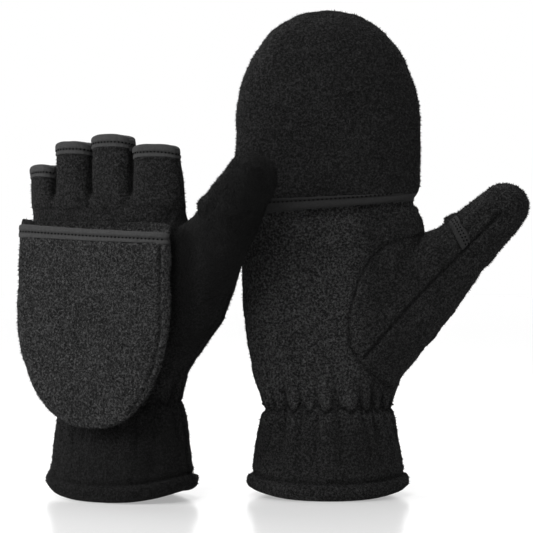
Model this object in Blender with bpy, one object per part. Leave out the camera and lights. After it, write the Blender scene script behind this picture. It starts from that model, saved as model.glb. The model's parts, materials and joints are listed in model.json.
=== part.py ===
"""A pair of fleece convertible mittens: half-finger gloves with flip-over caps.

The right glove stands palm to the viewer with its cap closed over the fingers.
The left glove stands with its back to the viewer and its cap thrown open.
Every glove is built in its own frame: palm towards -Y, thumb towards +X, hem on Z = 0.
"""
import math

import bmesh
import bpy
from mathutils import Matrix, Vector

# Cloth and trim, metres.
FLEECE = 0.0024
SEAM_GAP = 0.0003
GUSSET_GAP = 0.0005
TAPE = 0.0009
FINGER_TAPE_HEIGHT = 0.0078
CAP_TAPE_HEIGHT = 0.0063
THUMB_TAPE_HEIGHT = 0.0042

# Cuff and hand, full widths and depths at rising heights.
HEM_HEIGHT = 0.0098
HEM_FOLD = 0.0010
CUFF_WIDTH = 0.0860
CUFF_DEPTH = 0.0580
WRIST_HEIGHT = 0.0490
WRIST_WIDTH = 0.0690
WRIST_DEPTH = 0.0470
HEEL_HEIGHT = 0.0670
HEEL_WIDTH = 0.0810
HEEL_DEPTH = 0.0440
PALM_HEIGHT = 0.1070
PALM_WIDTH = 0.0936
PALM_DEPTH = 0.0370
KNUCKLE_HEIGHT = 0.1575
KNUCKLE_DEPTH = 0.0292
GATHER_COUNT = 12
GATHER_DEPTH = 0.0009
GATHER_SPREAD = 0.0100
ELASTIC_HEIGHT = 0.0080
ELASTIC_THICKNESS = 0.0012

# Half-finger stalls, little finger first: base width and length above the knuckles.
FINGER_NAMES = ("little", "ring", "middle", "index")
LITTLE_WIDTH = 0.0184
RING_WIDTH = 0.0230
MIDDLE_WIDTH = 0.0250
INDEX_WIDTH = 0.0252
LITTLE_LENGTH = 0.0240
RING_LENGTH = 0.0360
MIDDLE_LENGTH = 0.0390
INDEX_LENGTH = 0.0330
FINGER_DEPTH = 0.0250

# Flip cap: fold line on the back of the hand, mouth on the palm side, rounded tip.
FOLD_HEIGHT = KNUCKLE_HEIGHT - 0.0060
MOUTH_HEIGHT = KNUCKLE_HEIGHT - 0.0012
CAP_BACK_CLEARANCE = 0.0004
CAP_FRONT_CLEARANCE = 0.0021
CAP_SHOULDER = KNUCKLE_HEIGHT + 0.0445
CAP_DOME = 0.0640
CAP_FLAT_DEPTH = 0.0100
CAP_OPEN_DEGREES = 174.0

# Thumb: heel inside the hand, root at the gusset, rim at the slit, rounded tip.
THUMB_HEEL = (0.0160, 0.0675)
THUMB_HEEL_WIDTH = 0.0400
THUMB_HEEL_DEPTH = 0.0350
THUMB_ROOT_WIDTH = 0.0475
THUMB_ROOT_DEPTH = 0.0330
THUMB_RIM_WIDTH = 0.0310
THUMB_RIM_DEPTH = 0.0272
THUMB_TIP_WIDTH = 0.0266
THUMB_TIP_DEPTH = 0.0240
THUMB_SLEEVE_LENGTH = 0.0460
THUMB_CAP_LENGTH = 0.0425
THUMB_DOME = 0.0130
RIGHT_THUMB_ROOT = (0.0440, 0.1050)
LEFT_THUMB_ROOT = (0.0460, 0.1105)
RIGHT_THUMB_SPLAY = 45.0
LEFT_THUMB_SPLAY = 34.0

# How far apart the two gloves stand, and how far the left one is turned and leans.
PAIR_SPACING = 0.1130
PAIR_STAGGER = 0.0060
LEFT_TURN = -26.0
LEFT_LEAN = 2.4

# Roundness of the sections: 2 is an ellipse, more is squarer.
CUFF_POWER = 2.0
KNUCKLE_POWER = 2.7
STALL_BASE_POWER = 4.0
STALL_RIM_POWER = 2.5
CAP_POWER = 2.6
THUMB_POWER = 2.2

HAND_POINTS = 48
FINGER_POINTS = 16
CAP_POINTS = 32
THUMB_POINTS = 20
DOME_ROWS = 6
CAP_DOME_TURN = 84.0
CAP_DOME_ROUND = 0.93
THUMB_DOME_TURN = 80.0

FINGER_WIDTHS = (LITTLE_WIDTH, RING_WIDTH, MIDDLE_WIDTH, INDEX_WIDTH)
FINGER_LENGTHS = (LITTLE_LENGTH, RING_LENGTH, MIDDLE_LENGTH, INDEX_LENGTH)
KNUCKLE_WIDTH = sum(FINGER_WIDTHS) + SEAM_GAP * (len(FINGER_WIDTHS) - 1)
HAND_BASE = HEM_HEIGHT + SEAM_GAP

FLEECE_COLOUR = (0.028, 0.028, 0.028, 1.0)
TAPE_COLOUR = (0.045, 0.045, 0.046, 1.0)
ELASTIC_COLOUR = (0.018, 0.018, 0.018, 1.0)
FLEECE_ROUGHNESS = 0.95
TAPE_ROUGHNESS = 0.8


def clear_scene():
    for item in list(bpy.data.objects):
        bpy.data.objects.remove(item, do_unlink=True)


def new_collection(name, hidden):
    made = bpy.data.collections.new(name)
    bpy.context.scene.collection.children.link(made)
    made.hide_render = hidden
    return made


def through(stations, height):
    """Smooth curve through (height, value) stations, read at one height."""
    last = len(stations) - 2
    i = 0
    while i < last and height > stations[i + 1][0]:
        i += 1
    (z0, v0), (z1, v1) = stations[i], stations[i + 1]

    def slope(k):
        low = stations[max(k - 1, 0)]
        high = stations[min(k + 1, len(stations) - 1)]
        return (high[1] - low[1]) / (high[0] - low[0])

    run = z1 - z0
    t = (height - z0) / run
    a = 2 * t ** 3 - 3 * t ** 2 + 1
    b = t ** 3 - 2 * t ** 2 + t
    c = 3 * t ** 2 - 2 * t ** 3
    d = t ** 3 - t ** 2
    return a * v0 + b * run * slope(i) + c * v1 + d * run * slope(i + 1)


def oval(half_width, half_depth, power, count, grow=None):
    """Rounded section as (across, deep) pairs; grow adds to the radius by angle."""
    points = []
    for k in range(count):
        angle = 2 * math.pi * k / count
        c = math.cos(angle)
        s = math.sin(angle)
        extra = grow(angle) if grow else 0.0
        across = math.copysign(abs(c) ** (2 / power), c) * (half_width + extra)
        deep = math.copysign(abs(s) ** (2 / power), s) * (half_depth + extra)
        points.append((across, deep))
    return points


def level(points, height, shift=(0.0, 0.0)):
    return [Vector((x + shift[0], y + shift[1], height)) for x, y in points]


def skin(loops, closed, poles=()):
    """Closed body over a row of loops; poles close the first and the last loop."""
    bm = bmesh.new()
    rings = [[bm.verts.new(p) for p in loop] for loop in loops]
    total = len(rings)
    for i in range(total if closed else total - 1):
        a = rings[i]
        b = rings[(i + 1) % total]
        for k in range(len(a)):
            n = (k + 1) % len(a)
            bm.faces.new((a[k], a[n], b[n], b[k]))
    for ring, pole in zip((rings[0], rings[-1]), poles):
        top = bm.verts.new(pole)
        for k in range(len(ring)):
            bm.faces.new((ring[k], ring[(k + 1) % len(ring)], top))
    bmesh.ops.recalc_face_normals(bm, faces=bm.faces[:])
    return bm


def keep_side(bm, point, normal):
    """Keep what lies on the normal's side of a plane and close the cut."""
    geometry = bm.verts[:] + bm.edges[:] + bm.faces[:]
    cut = bmesh.ops.bisect_plane(
        bm, geom=geometry, dist=1e-7, plane_co=point, plane_no=normal, clear_inner=True
    )
    edges = [e for e in cut["geom_cut"] if isinstance(e, bmesh.types.BMEdge)]
    bmesh.ops.triangle_fill(bm, edges=edges, use_beauty=True)
    bmesh.ops.recalc_face_normals(bm, faces=bm.faces[:])
    return bm


def tape_profile(rim, height, wall, way):
    """Folded tape over a cut edge: (outset, station) corners of its section.

    way is +1 where the edge faces up its path and -1 where it faces back.
    """
    far = rim - way * height
    top = rim + way * (SEAM_GAP + TAPE)
    under = rim + way * SEAM_GAP
    out = SEAM_GAP
    inside = -wall - SEAM_GAP
    return [
        (out + TAPE, far),
        (out + TAPE, top),
        (inside - TAPE, top),
        (inside - TAPE, far),
        (inside, far),
        (inside, under),
        (out, under),
        (out, far),
    ]


class Glove:
    """One glove: its side, its place, and the parts that it is sewn from."""

    def __init__(self, side, place, turn, lean, mirrored, cap_open, thumb_root, thumb_splay):
        self.side = side
        flip = Matrix.Diagonal((1, -1, 1, 1)) if mirrored else Matrix.Identity(4)
        turned = Matrix.Rotation(math.radians(turn), 4, "Z") @ flip
        sway = Matrix.Identity(4)
        sway[0][2] = -math.tan(math.radians(lean))
        self.foot = place
        self.place = Matrix.Translation(place) @ sway @ turned
        self.cap_place = Matrix.Translation(place + Vector((sway[0][2] * FOLD_HEIGHT, 0.0, 0.0))) @ turned
        self.cap_open = cap_open
        self.thumb_root = Vector((thumb_root[0], 0.0, thumb_root[1]))
        splay = math.radians(thumb_splay)
        self.thumb_way = Vector((math.sin(splay), 0.0, math.cos(splay)))
        self.thumb_rim = self.thumb_root + self.thumb_way * THUMB_SLEEVE_LENGTH


HAND_WIDTHS = (
    (0.0, CUFF_WIDTH / 2),
    (WRIST_HEIGHT, WRIST_WIDTH / 2),
    (HEEL_HEIGHT, HEEL_WIDTH / 2),
    (PALM_HEIGHT, PALM_WIDTH / 2),
    (KNUCKLE_HEIGHT, KNUCKLE_WIDTH / 2),
)
HAND_DEPTHS = (
    (0.0, CUFF_DEPTH / 2),
    (WRIST_HEIGHT, WRIST_DEPTH / 2),
    (HEEL_HEIGHT, HEEL_DEPTH / 2),
    (PALM_HEIGHT, PALM_DEPTH / 2),
    (KNUCKLE_HEIGHT, KNUCKLE_DEPTH / 2),
)


def hand_power(height):
    """Round at the cuff, squarer where the four fingers stand side by side."""
    share = min(max((height - WRIST_HEIGHT) / (KNUCKLE_HEIGHT - WRIST_HEIGHT), 0.0), 1.0)
    return CUFF_POWER + (KNUCKLE_POWER - CUFF_POWER) * share


def gather(height):
    """Cloth drawn in by the elastic: folds that swell beside it and die away."""
    away = abs(height - WRIST_HEIGHT) / GATHER_SPREAD
    size = GATHER_DEPTH * away * math.exp(1 - away)
    return lambda angle: size * math.cos(GATHER_COUNT * angle)


def hand_loop(height, outset, gathered=True):
    width = through(HAND_WIDTHS, height) + outset
    depth = through(HAND_DEPTHS, height) + outset
    grow = gather(height) if gathered else None
    return level(oval(width, depth, hand_power(height), HAND_POINTS, grow), height)


def hand_heights():
    rows = [HAND_BASE]
    for share in (-2.0, -1.0, -0.4, 0.0, 0.4, 1.0):
        rows.append(WRIST_HEIGHT + share * GATHER_SPREAD)
    rows += [HEEL_HEIGHT, (HEEL_HEIGHT + PALM_HEIGHT) / 2, PALM_HEIGHT]
    rows += [(PALM_HEIGHT + KNUCKLE_HEIGHT) / 2, KNUCKLE_HEIGHT]
    return rows


def hand_shell():
    lining = (HAND_BASE, WRIST_HEIGHT, HEEL_HEIGHT, PALM_HEIGHT, KNUCKLE_HEIGHT)
    outer = [hand_loop(z, 0.0) for z in hand_heights()]
    inner = [hand_loop(z, -FLEECE, False) for z in reversed(lining)]
    return skin(outer + inner, True)


def hand_block(outset):
    loops = [hand_loop(z, outset) for z in hand_heights()]
    low = Vector((0.0, 0.0, HAND_BASE))
    high = Vector((0.0, 0.0, KNUCKLE_HEIGHT))
    return skin(loops, False, (low, high))


def hem():
    """Turned-up hem: two layers deep, a little proud of the cuff, flat underneath."""
    fold = HEM_FOLD
    corners = [
        (0.0, 0.0),
        (fold, fold),
        (fold, HEM_HEIGHT - fold),
        (0.0, HEM_HEIGHT),
        (-2 * FLEECE, HEM_HEIGHT),
        (-2 * FLEECE, 0.0),
    ]
    loops = []
    for out, height in corners:
        section = oval(CUFF_WIDTH / 2 + out, CUFF_DEPTH / 2 + out, CUFF_POWER, HAND_POINTS)
        loops.append(level(section, height))
    return skin(loops, True)


def elastic():
    low = WRIST_HEIGHT - ELASTIC_HEIGHT / 2
    high = WRIST_HEIGHT + ELASTIC_HEIGHT / 2
    near = -FLEECE - SEAM_GAP
    far = near - ELASTIC_THICKNESS
    rows = (low, WRIST_HEIGHT, high)
    outer = [hand_loop(z, near, False) for z in rows]
    inner = [hand_loop(z, far, False) for z in reversed(rows)]
    return skin(outer + inner, True)


def finger_centre(number):
    before = sum(FINGER_WIDTHS[:number]) + SEAM_GAP * number
    return -KNUCKLE_WIDTH / 2 + before + FINGER_WIDTHS[number] / 2


def finger_rim(number):
    return KNUCKLE_HEIGHT + FINGER_LENGTHS[number] - TAPE - SEAM_GAP


def finger_loop(number, share, outset, height):
    """Stall section: square-shouldered at the knuckles, a rounder tube at the rim.

    The outer stalls also keep inside the rounded section of the hand below them.
    """
    room = (TAPE + SEAM_GAP) * share
    centre = finger_centre(number)
    width = FINGER_WIDTHS[number] / 2 - room + outset
    depth = (KNUCKLE_DEPTH + (FINGER_DEPTH - KNUCKLE_DEPTH) * share) / 2 + outset
    hand_width = KNUCKLE_WIDTH / 2 - room + outset
    hand_depth = KNUCKLE_DEPTH / 2 - room + outset
    square = STALL_BASE_POWER + (STALL_RIM_POWER - STALL_BASE_POWER) * share
    points = []
    for across, deep in oval(width, depth, square, FINGER_POINTS):
        reach = min(abs(across + centre) / hand_width, 1.0)
        limit = hand_depth * (1 - reach ** KNUCKLE_POWER) ** (1 / KNUCKLE_POWER)
        points.append((across, max(-limit, min(limit, deep))))
    return level(points, height, (centre, 0.0))


def finger_stall(number):
    rim = finger_rim(number)
    base = KNUCKLE_HEIGHT + SEAM_GAP
    neck = rim - FINGER_TAPE_HEIGHT
    rows = ((0.0, base), (0.55, (base + neck) / 2), (1.0, neck), (1.0, rim))
    outer = [finger_loop(number, share, 0.0, z) for share, z in rows]
    inner = [finger_loop(number, share, -FLEECE, z) for share, z in reversed(rows)]
    return skin(outer + inner, True)


def finger_tape(number):
    corners = tape_profile(finger_rim(number), FINGER_TAPE_HEIGHT, FLEECE, 1)
    return skin([finger_loop(number, 1.0, out, z) for out, z in corners], True)


CAP_HALF_WIDTH = KNUCKLE_WIDTH / 2 + CAP_FRONT_CLEARANCE + FLEECE
CAP_BACK = through(HAND_DEPTHS, FOLD_HEIGHT) + CAP_BACK_CLEARANCE + FLEECE
CAP_FRONT = KNUCKLE_DEPTH / 2 + CAP_FRONT_CLEARANCE + FLEECE
CAP_BASE = FOLD_HEIGHT + SEAM_GAP
CAP_RIM = MOUTH_HEIGHT + TAPE + SEAM_GAP
CAP_TIP = CAP_SHOULDER + CAP_DOME
FOLD_LINE = Vector((0.0, CAP_BACK - FLEECE / 2, FOLD_HEIGHT))


def cap_section(cap_open):
    """Front and back half depths of the cap and its seam plane: flat when thrown open."""
    if cap_open:
        half = CAP_FLAT_DEPTH / 2
        return half, half, CAP_BACK - half
    return CAP_FRONT, CAP_BACK, 0.0


def cap_loop(cap_open, outset, height, share=1.0):
    front, back, seam = cap_section(cap_open)
    width = (CAP_HALF_WIDTH + outset) * share
    points = []
    for across, deep in oval(width, 1.0, CAP_POWER, CAP_POINTS):
        half = back if deep > 0 else front
        points.append((across, deep * (half + outset) * share))
    return level(points, height, (0.0, seam))


def cap_wall(cap_open, outset):
    rows = [cap_loop(cap_open, outset, CAP_BASE), cap_loop(cap_open, outset, CAP_RIM)]
    rows.append(cap_loop(cap_open, outset, (CAP_RIM + CAP_SHOULDER) / 2))
    for k in range(DOME_ROWS):
        angle = math.radians(CAP_DOME_TURN) * k / (DOME_ROWS - 1)
        height = CAP_SHOULDER + (CAP_DOME + outset) * math.sin(angle)
        rows.append(cap_loop(cap_open, outset, height, math.cos(angle) ** CAP_DOME_ROUND))
    return rows


def cap_panel(cap_open, way):
    """Back half (way +1) or palm half (way -1) of the cap, cut at its side seam."""
    seam = cap_section(cap_open)[2]
    inner = cap_wall(cap_open, -FLEECE)
    outer = cap_wall(cap_open, 0.0)
    poles = (Vector((0.0, seam, CAP_TIP - FLEECE)), Vector((0.0, seam, CAP_TIP)))
    bm = skin(inner[::-1] + outer, False, poles)
    keep_side(bm, (0.0, seam + way * SEAM_GAP / 2, 0.0), (0.0, way, 0.0))
    if way < 0:
        keep_side(bm, (0.0, 0.0, CAP_RIM), (0.0, 0.0, 1.0))
    return bm


def cap_tape(cap_open):
    seam = cap_section(cap_open)[2]
    corners = tape_profile(CAP_RIM, CAP_TAPE_HEIGHT, FLEECE, -1)
    bm = skin([cap_loop(cap_open, out, z) for out, z in corners], True)
    return keep_side(bm, (0.0, seam - SEAM_GAP / 2, 0.0), (0.0, -1.0, 0.0))


def thumb_loop(centre, way, half_width, half_depth):
    across = Vector((way.z, 0.0, -way.x))
    deep = Vector((0.0, 1.0, 0.0))
    section = oval(half_width, half_depth, THUMB_POWER, THUMB_POINTS)
    return [centre + across * a + deep * d for a, d in section]


def thumb_sleeve_rows(glove, outset):
    """Sections from inside the palm, round the bend of the gusset, to the rim."""
    heel = Vector((THUMB_HEEL[0], 0.0, THUMB_HEEL[1]))
    root = glove.thumb_root
    rim = glove.thumb_rim - glove.thumb_way * SEAM_GAP
    first = (root - heel).normalized()
    bend = (first + glove.thumb_way).normalized()
    middle = (THUMB_ROOT_WIDTH + THUMB_RIM_WIDTH) / 2
    middle_depth = (THUMB_ROOT_DEPTH + THUMB_RIM_DEPTH) / 2
    rows = (
        (heel, first, THUMB_HEEL_WIDTH, THUMB_HEEL_DEPTH),
        (root, bend, THUMB_ROOT_WIDTH, THUMB_ROOT_DEPTH),
        ((root + rim) / 2, glove.thumb_way, middle, middle_depth),
        (rim, glove.thumb_way, THUMB_RIM_WIDTH, THUMB_RIM_DEPTH),
    )
    return [thumb_loop(c, w, wide / 2 + outset, deep / 2 + outset) for c, w, wide, deep in rows]


def thumb_panel(glove, way):
    """Outer half (way +1) or pad half (way -1) of the thumb, cut along its long seam."""
    outer = thumb_sleeve_rows(glove, 0.0)
    inner = thumb_sleeve_rows(glove, -FLEECE)
    bm = skin(outer + inner[::-1], True)
    across = Vector((glove.thumb_way.z, 0.0, -glove.thumb_way.x)) * way
    return keep_side(bm, glove.thumb_root + across * SEAM_GAP / 2, across)


def thumb_bore(glove):
    rows = thumb_sleeve_rows(glove, -FLEECE)
    heel = Vector((THUMB_HEEL[0], 0.0, THUMB_HEEL[1]))
    return skin(rows, False, (heel, glove.thumb_rim))


THUMB_CAP_RIM = SEAM_GAP + TAPE
THUMB_STRAIGHT = THUMB_CAP_LENGTH - THUMB_DOME


def thumb_cap_loop(glove, outset, along, share=1.0):
    taper = min(along / THUMB_STRAIGHT, 1.0)
    width = (THUMB_RIM_WIDTH + (THUMB_TIP_WIDTH - THUMB_RIM_WIDTH) * taper) / 2
    depth = (THUMB_RIM_DEPTH + (THUMB_TIP_DEPTH - THUMB_RIM_DEPTH) * taper) / 2
    centre = glove.thumb_rim + glove.thumb_way * along
    return thumb_loop(centre, glove.thumb_way, (width + outset) * share, (depth + outset) * share)


def thumb_cap_wall(glove, outset):
    rows = [thumb_cap_loop(glove, outset, THUMB_CAP_RIM)]
    rows.append(thumb_cap_loop(glove, outset, THUMB_CAP_RIM + THUMB_TAPE_HEIGHT))
    for k in range(DOME_ROWS):
        angle = math.radians(THUMB_DOME_TURN) * k / (DOME_ROWS - 1)
        along = THUMB_STRAIGHT + (THUMB_DOME + outset) * math.sin(angle)
        rows.append(thumb_cap_loop(glove, outset, along, math.cos(angle)))
    return rows


def thumb_cap(glove):
    inner = thumb_cap_wall(glove, -FLEECE)
    outer = thumb_cap_wall(glove, 0.0)
    tip = glove.thumb_rim + glove.thumb_way * THUMB_CAP_LENGTH
    poles = (tip - glove.thumb_way * FLEECE, tip)
    return skin(inner[::-1] + outer, False, poles)


def thumb_tape(glove):
    """Tape over the slit's edge, on the pad side of the thumb only."""
    corners = tape_profile(THUMB_CAP_RIM, THUMB_TAPE_HEIGHT, FLEECE, -1)
    bm = skin([thumb_cap_loop(glove, out, along) for out, along in corners], True)
    return keep_side(bm, (0.0, 0.0, 0.0), (0.0, -1.0, 0.0))


def thumb_hinge(glove):
    return glove.thumb_rim + Vector((0.0, THUMB_RIM_DEPTH / 2, 0.0))


def cloth(name, colour):
    made = bpy.data.materials.new(name)
    made.use_nodes = True
    shader = made.node_tree.nodes["Principled BSDF"]
    shader.inputs["Base Color"].default_value = colour
    fleece = colour == FLEECE_COLOUR
    shader.inputs["Roughness"].default_value = FLEECE_ROUGHNESS if fleece else TAPE_ROUGHNESS
    shader.inputs["Metallic"].default_value = 0.0
    return made


def empty(name, place, parent):
    made = bpy.data.objects.new(name, None)
    made.location = place
    made.parent = parent
    parts.objects.link(made)
    return made


def add(bm, name, parent, origin, place, collection, material=None):
    """Put a finished body into the scene with its origin on its parent's joint."""
    bm.transform(Matrix.Translation(-origin) @ place)
    bmesh.ops.recalc_face_normals(bm, faces=bm.faces[:])
    if bm.calc_volume(signed=True) < 0:
        bmesh.ops.reverse_faces(bm, faces=bm.faces[:])
    mesh = bpy.data.meshes.new(name)
    bm.to_mesh(mesh)
    bm.free()
    made = bpy.data.objects.new(name, mesh)
    made.parent = parent
    collection.objects.link(made)
    if material:
        mesh.materials.append(material)
    return made


def cut(body, cutter):
    change = body.modifiers.new("cut", "BOOLEAN")
    change.operation = "DIFFERENCE"
    change.solver = "EXACT"
    change.object = cutter


def build_glove(glove, pair):
    side = glove.side
    foot = glove.foot
    base = empty(side + "_glove", foot, pair)

    def sewn(bm, name, colour=FLEECE_COLOUR):
        full = side + "_" + name
        return add(bm, full, base, foot, glove.place, parts, cloth(full, colour))

    def hinged(bm, name, joint, place, colour=FLEECE_COLOUR):
        full = side + "_" + name
        return add(bm, full, joint, foot + joint.location, place, parts, cloth(full, colour))

    def tool(bm, name):
        made = add(bm, side + "_" + name, base, foot, glove.place, cutters)
        made.display_type = "WIRE"
        made.hide_render = True
        return made

    bore = tool(thumb_bore(glove), "thumb_bore")
    hand = tool(hand_block(GUSSET_GAP), "hand_block")

    for name, way in (("palm_panel", -1.0), ("back_panel", 1.0)):
        half = keep_side(hand_shell(), (0.0, way * SEAM_GAP / 2, 0.0), (0.0, way, 0.0))
        cut(sewn(half, name), bore)
    sewn(hem(), "cuff_hem")
    sewn(elastic(), "wrist_elastic", ELASTIC_COLOUR)

    for number, name in enumerate(FINGER_NAMES):
        sewn(finger_stall(number), name + "_stall")
        sewn(finger_tape(number), name + "_binding", TAPE_COLOUR)

    for name, way in (("thumb_outer_panel", 1.0), ("thumb_pad_panel", -1.0)):
        cut(sewn(thumb_panel(glove, way), name), hand)
    thumb = empty(side + "_thumb_hinge", glove.place @ thumb_hinge(glove) - foot, base)
    hinged(thumb_cap(glove), "thumb_cap", thumb, glove.place)
    hinged(thumb_tape(glove), "thumb_cap_binding", thumb, glove.place, TAPE_COLOUR)

    place = glove.cap_place
    fold = empty(side + "_cap_fold", place @ FOLD_LINE - foot, base)
    if glove.cap_open:
        lay = Matrix.Rotation(math.radians(-CAP_OPEN_DEGREES), 4, "X")
        place = place @ Matrix.Translation(FOLD_LINE) @ lay @ Matrix.Translation(-FOLD_LINE)
    hinged(cap_panel(glove.cap_open, 1.0), "cap_back_panel", fold, place)
    tip = Vector((0.0, cap_section(glove.cap_open)[2], CAP_TIP))
    pocket = empty(side + "_cap_pocket", place @ tip - foot, base)
    hinged(cap_panel(glove.cap_open, -1.0), "cap_palm_panel", pocket, place)
    hinged(cap_tape(glove.cap_open), "cap_binding", pocket, place, TAPE_COLOUR)


def stand_on_origin(pair):
    """Move the pair so that the middle of its footprint lies on the origin."""
    bpy.context.view_layer.update()
    corners = []
    for item in parts.objects:
        if item.type == "MESH":
            corners += [item.matrix_world @ Vector(c) for c in item.bound_box]
    for axis in (0, 1):
        low = min(c[axis] for c in corners)
        high = max(c[axis] for c in corners)
        pair.location[axis] -= (low + high) / 2
    pair.location.z -= min(c.z for c in corners)


clear_scene()
parts = new_collection("flip_top_mittens", False)
cutters = new_collection("cutters", True)
mittens = empty("mittens", (0.0, 0.0, 0.0), None)
right_place = Vector((PAIR_SPACING / 2, PAIR_STAGGER / 2, 0.0))
right = Glove("right", right_place, 0.0, 0.0, False, False, RIGHT_THUMB_ROOT, RIGHT_THUMB_SPLAY)
left = Glove("left", -right_place, LEFT_TURN, LEFT_LEAN, True, True, LEFT_THUMB_ROOT, LEFT_THUMB_SPLAY)
build_glove(right, mittens)
build_glove(left, mittens)
stand_on_origin(mittens)
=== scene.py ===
import json
import math

import bmesh
import bpy
import numpy as np
from mathutils import Matrix, Vector, noise
from mathutils.bvhtree import BVHTree


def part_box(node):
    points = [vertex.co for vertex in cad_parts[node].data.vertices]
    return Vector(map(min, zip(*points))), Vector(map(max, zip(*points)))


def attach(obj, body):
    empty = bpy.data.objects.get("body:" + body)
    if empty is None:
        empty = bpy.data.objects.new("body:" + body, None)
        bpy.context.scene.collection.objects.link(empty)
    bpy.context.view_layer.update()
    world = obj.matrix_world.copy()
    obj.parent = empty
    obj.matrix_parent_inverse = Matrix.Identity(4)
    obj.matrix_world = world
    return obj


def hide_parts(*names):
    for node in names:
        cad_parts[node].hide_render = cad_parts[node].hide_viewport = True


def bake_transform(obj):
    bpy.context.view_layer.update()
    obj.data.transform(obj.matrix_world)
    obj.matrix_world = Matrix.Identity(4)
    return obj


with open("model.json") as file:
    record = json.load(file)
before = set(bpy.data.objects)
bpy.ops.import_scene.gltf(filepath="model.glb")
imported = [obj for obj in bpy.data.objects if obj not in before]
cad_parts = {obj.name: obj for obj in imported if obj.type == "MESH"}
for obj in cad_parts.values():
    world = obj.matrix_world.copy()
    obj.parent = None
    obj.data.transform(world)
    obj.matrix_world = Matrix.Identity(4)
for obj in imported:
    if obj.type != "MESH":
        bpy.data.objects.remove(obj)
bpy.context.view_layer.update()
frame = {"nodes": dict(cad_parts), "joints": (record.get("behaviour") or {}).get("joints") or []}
scene = bpy.context.scene
scene.view_settings.view_transform = "Standard"


# Table top and studio: a pale sheet of glossy board under the gloves and a white surround.
# One large soft lamp stands high in front, one low on the left, and a weak one hangs above.
FLOOR_HALF = 6.0
FLOOR_GLOW = 0.36
SKY_LIGHT = 0.14
LAMP_AIM = Vector((0.0, 0.0, 0.12))
board = bpy.data.materials.new("pale_board")
board.use_nodes = True
nodes = board.node_tree.nodes
links = board.node_tree.links
gloss = nodes["Principled BSDF"]
gloss.inputs["Base Color"].default_value = (0.8, 0.8, 0.8, 1.0)
gloss.inputs["Roughness"].default_value = 0.20
gloss.inputs["Specular IOR Level"].default_value = 0.6
white = nodes.new("ShaderNodeEmission")
ray = nodes.new("ShaderNodeLightPath")
glow = nodes.new("ShaderNodeMath")
glow.operation = "MULTIPLY"
glow.inputs[1].default_value = FLOOR_GLOW
both = nodes.new("ShaderNodeAddShader")
links.new(ray.outputs["Is Camera Ray"], glow.inputs[0])
links.new(glow.outputs[0], white.inputs["Strength"])
links.new(gloss.outputs["BSDF"], both.inputs[0])
links.new(white.outputs["Emission"], both.inputs[1])
links.new(both.outputs["Shader"], nodes["Material Output"].inputs["Surface"])

sheet = bmesh.new()
bmesh.ops.create_grid(sheet, x_segments=1, y_segments=1, size=FLOOR_HALF)
floor_mesh = bpy.data.meshes.new("floor_board")
sheet.to_mesh(floor_mesh)
sheet.free()
floor_mesh.materials.append(board)
floor = bpy.data.objects.new("floor_board", floor_mesh)
scene.collection.objects.link(floor)

world = bpy.data.worlds.new("studio")
world.use_nodes = True
scene.world = world
sky_nodes = world.node_tree.nodes
sky_links = world.node_tree.links
sky = sky_nodes["Background"]
sky.inputs["Color"].default_value = (1.0, 1.0, 1.0, 1.0)
sky_ray = sky_nodes.new("ShaderNodeLightPath")
seen = sky_nodes.new("ShaderNodeMath")
seen.operation = "MAXIMUM"
level = sky_nodes.new("ShaderNodeMapRange")
level.inputs["To Min"].default_value = SKY_LIGHT
level.inputs["To Max"].default_value = 1.0
sky_links.new(sky_ray.outputs["Is Camera Ray"], seen.inputs[0])
sky_links.new(sky_ray.outputs["Is Glossy Ray"], seen.inputs[1])
sky_links.new(seen.outputs[0], level.inputs["Value"])
sky_links.new(level.outputs["Result"], sky.inputs["Strength"])

LAMPS = (
    ("key_lamp", (-0.45, -1.00, 1.00), 0.80, 8.5),
    ("side_lamp", (-1.30, -0.40, 0.55), 0.70, 13.0),
    ("top_lamp", (-0.05, 0.25, 1.10), 0.60, 4.0),
)
for name, place, size, power in LAMPS:
    lamp = bpy.data.lights.new(name, "AREA")
    lamp.shape = "DISK"
    lamp.size = size
    lamp.energy = power
    placed = bpy.data.objects.new(name, lamp)
    placed.location = place
    placed.rotation_euler = (LAMP_AIM - Vector(place)).to_track_quat("-Z", "Y").to_euler()
    scene.collection.objects.link(placed)

IMAGE_SIDE = 533
PIXEL = 0.00055
CAMERA_DISTANCE = 0.90
CAMERA_HEIGHT = 0.1255
CAMERA_SIDE = -0.0338
stand = (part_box("right_cuff_hem")[0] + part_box("right_cuff_hem")[1]) / 2
eye = bpy.data.cameras.new("studio_camera")
eye.sensor_width = 36.0
eye.lens = eye.sensor_width * CAMERA_DISTANCE / (PIXEL * IMAGE_SIDE)
eye.clip_start = 0.01
camera = bpy.data.objects.new("studio_camera", eye)
camera.location = (stand.x + CAMERA_SIDE, stand.y - CAMERA_DISTANCE, CAMERA_HEIGHT)
camera.rotation_euler = (math.radians(90), 0.0, 0.0)
scene.collection.objects.link(camera)
scene.camera = camera


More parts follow.
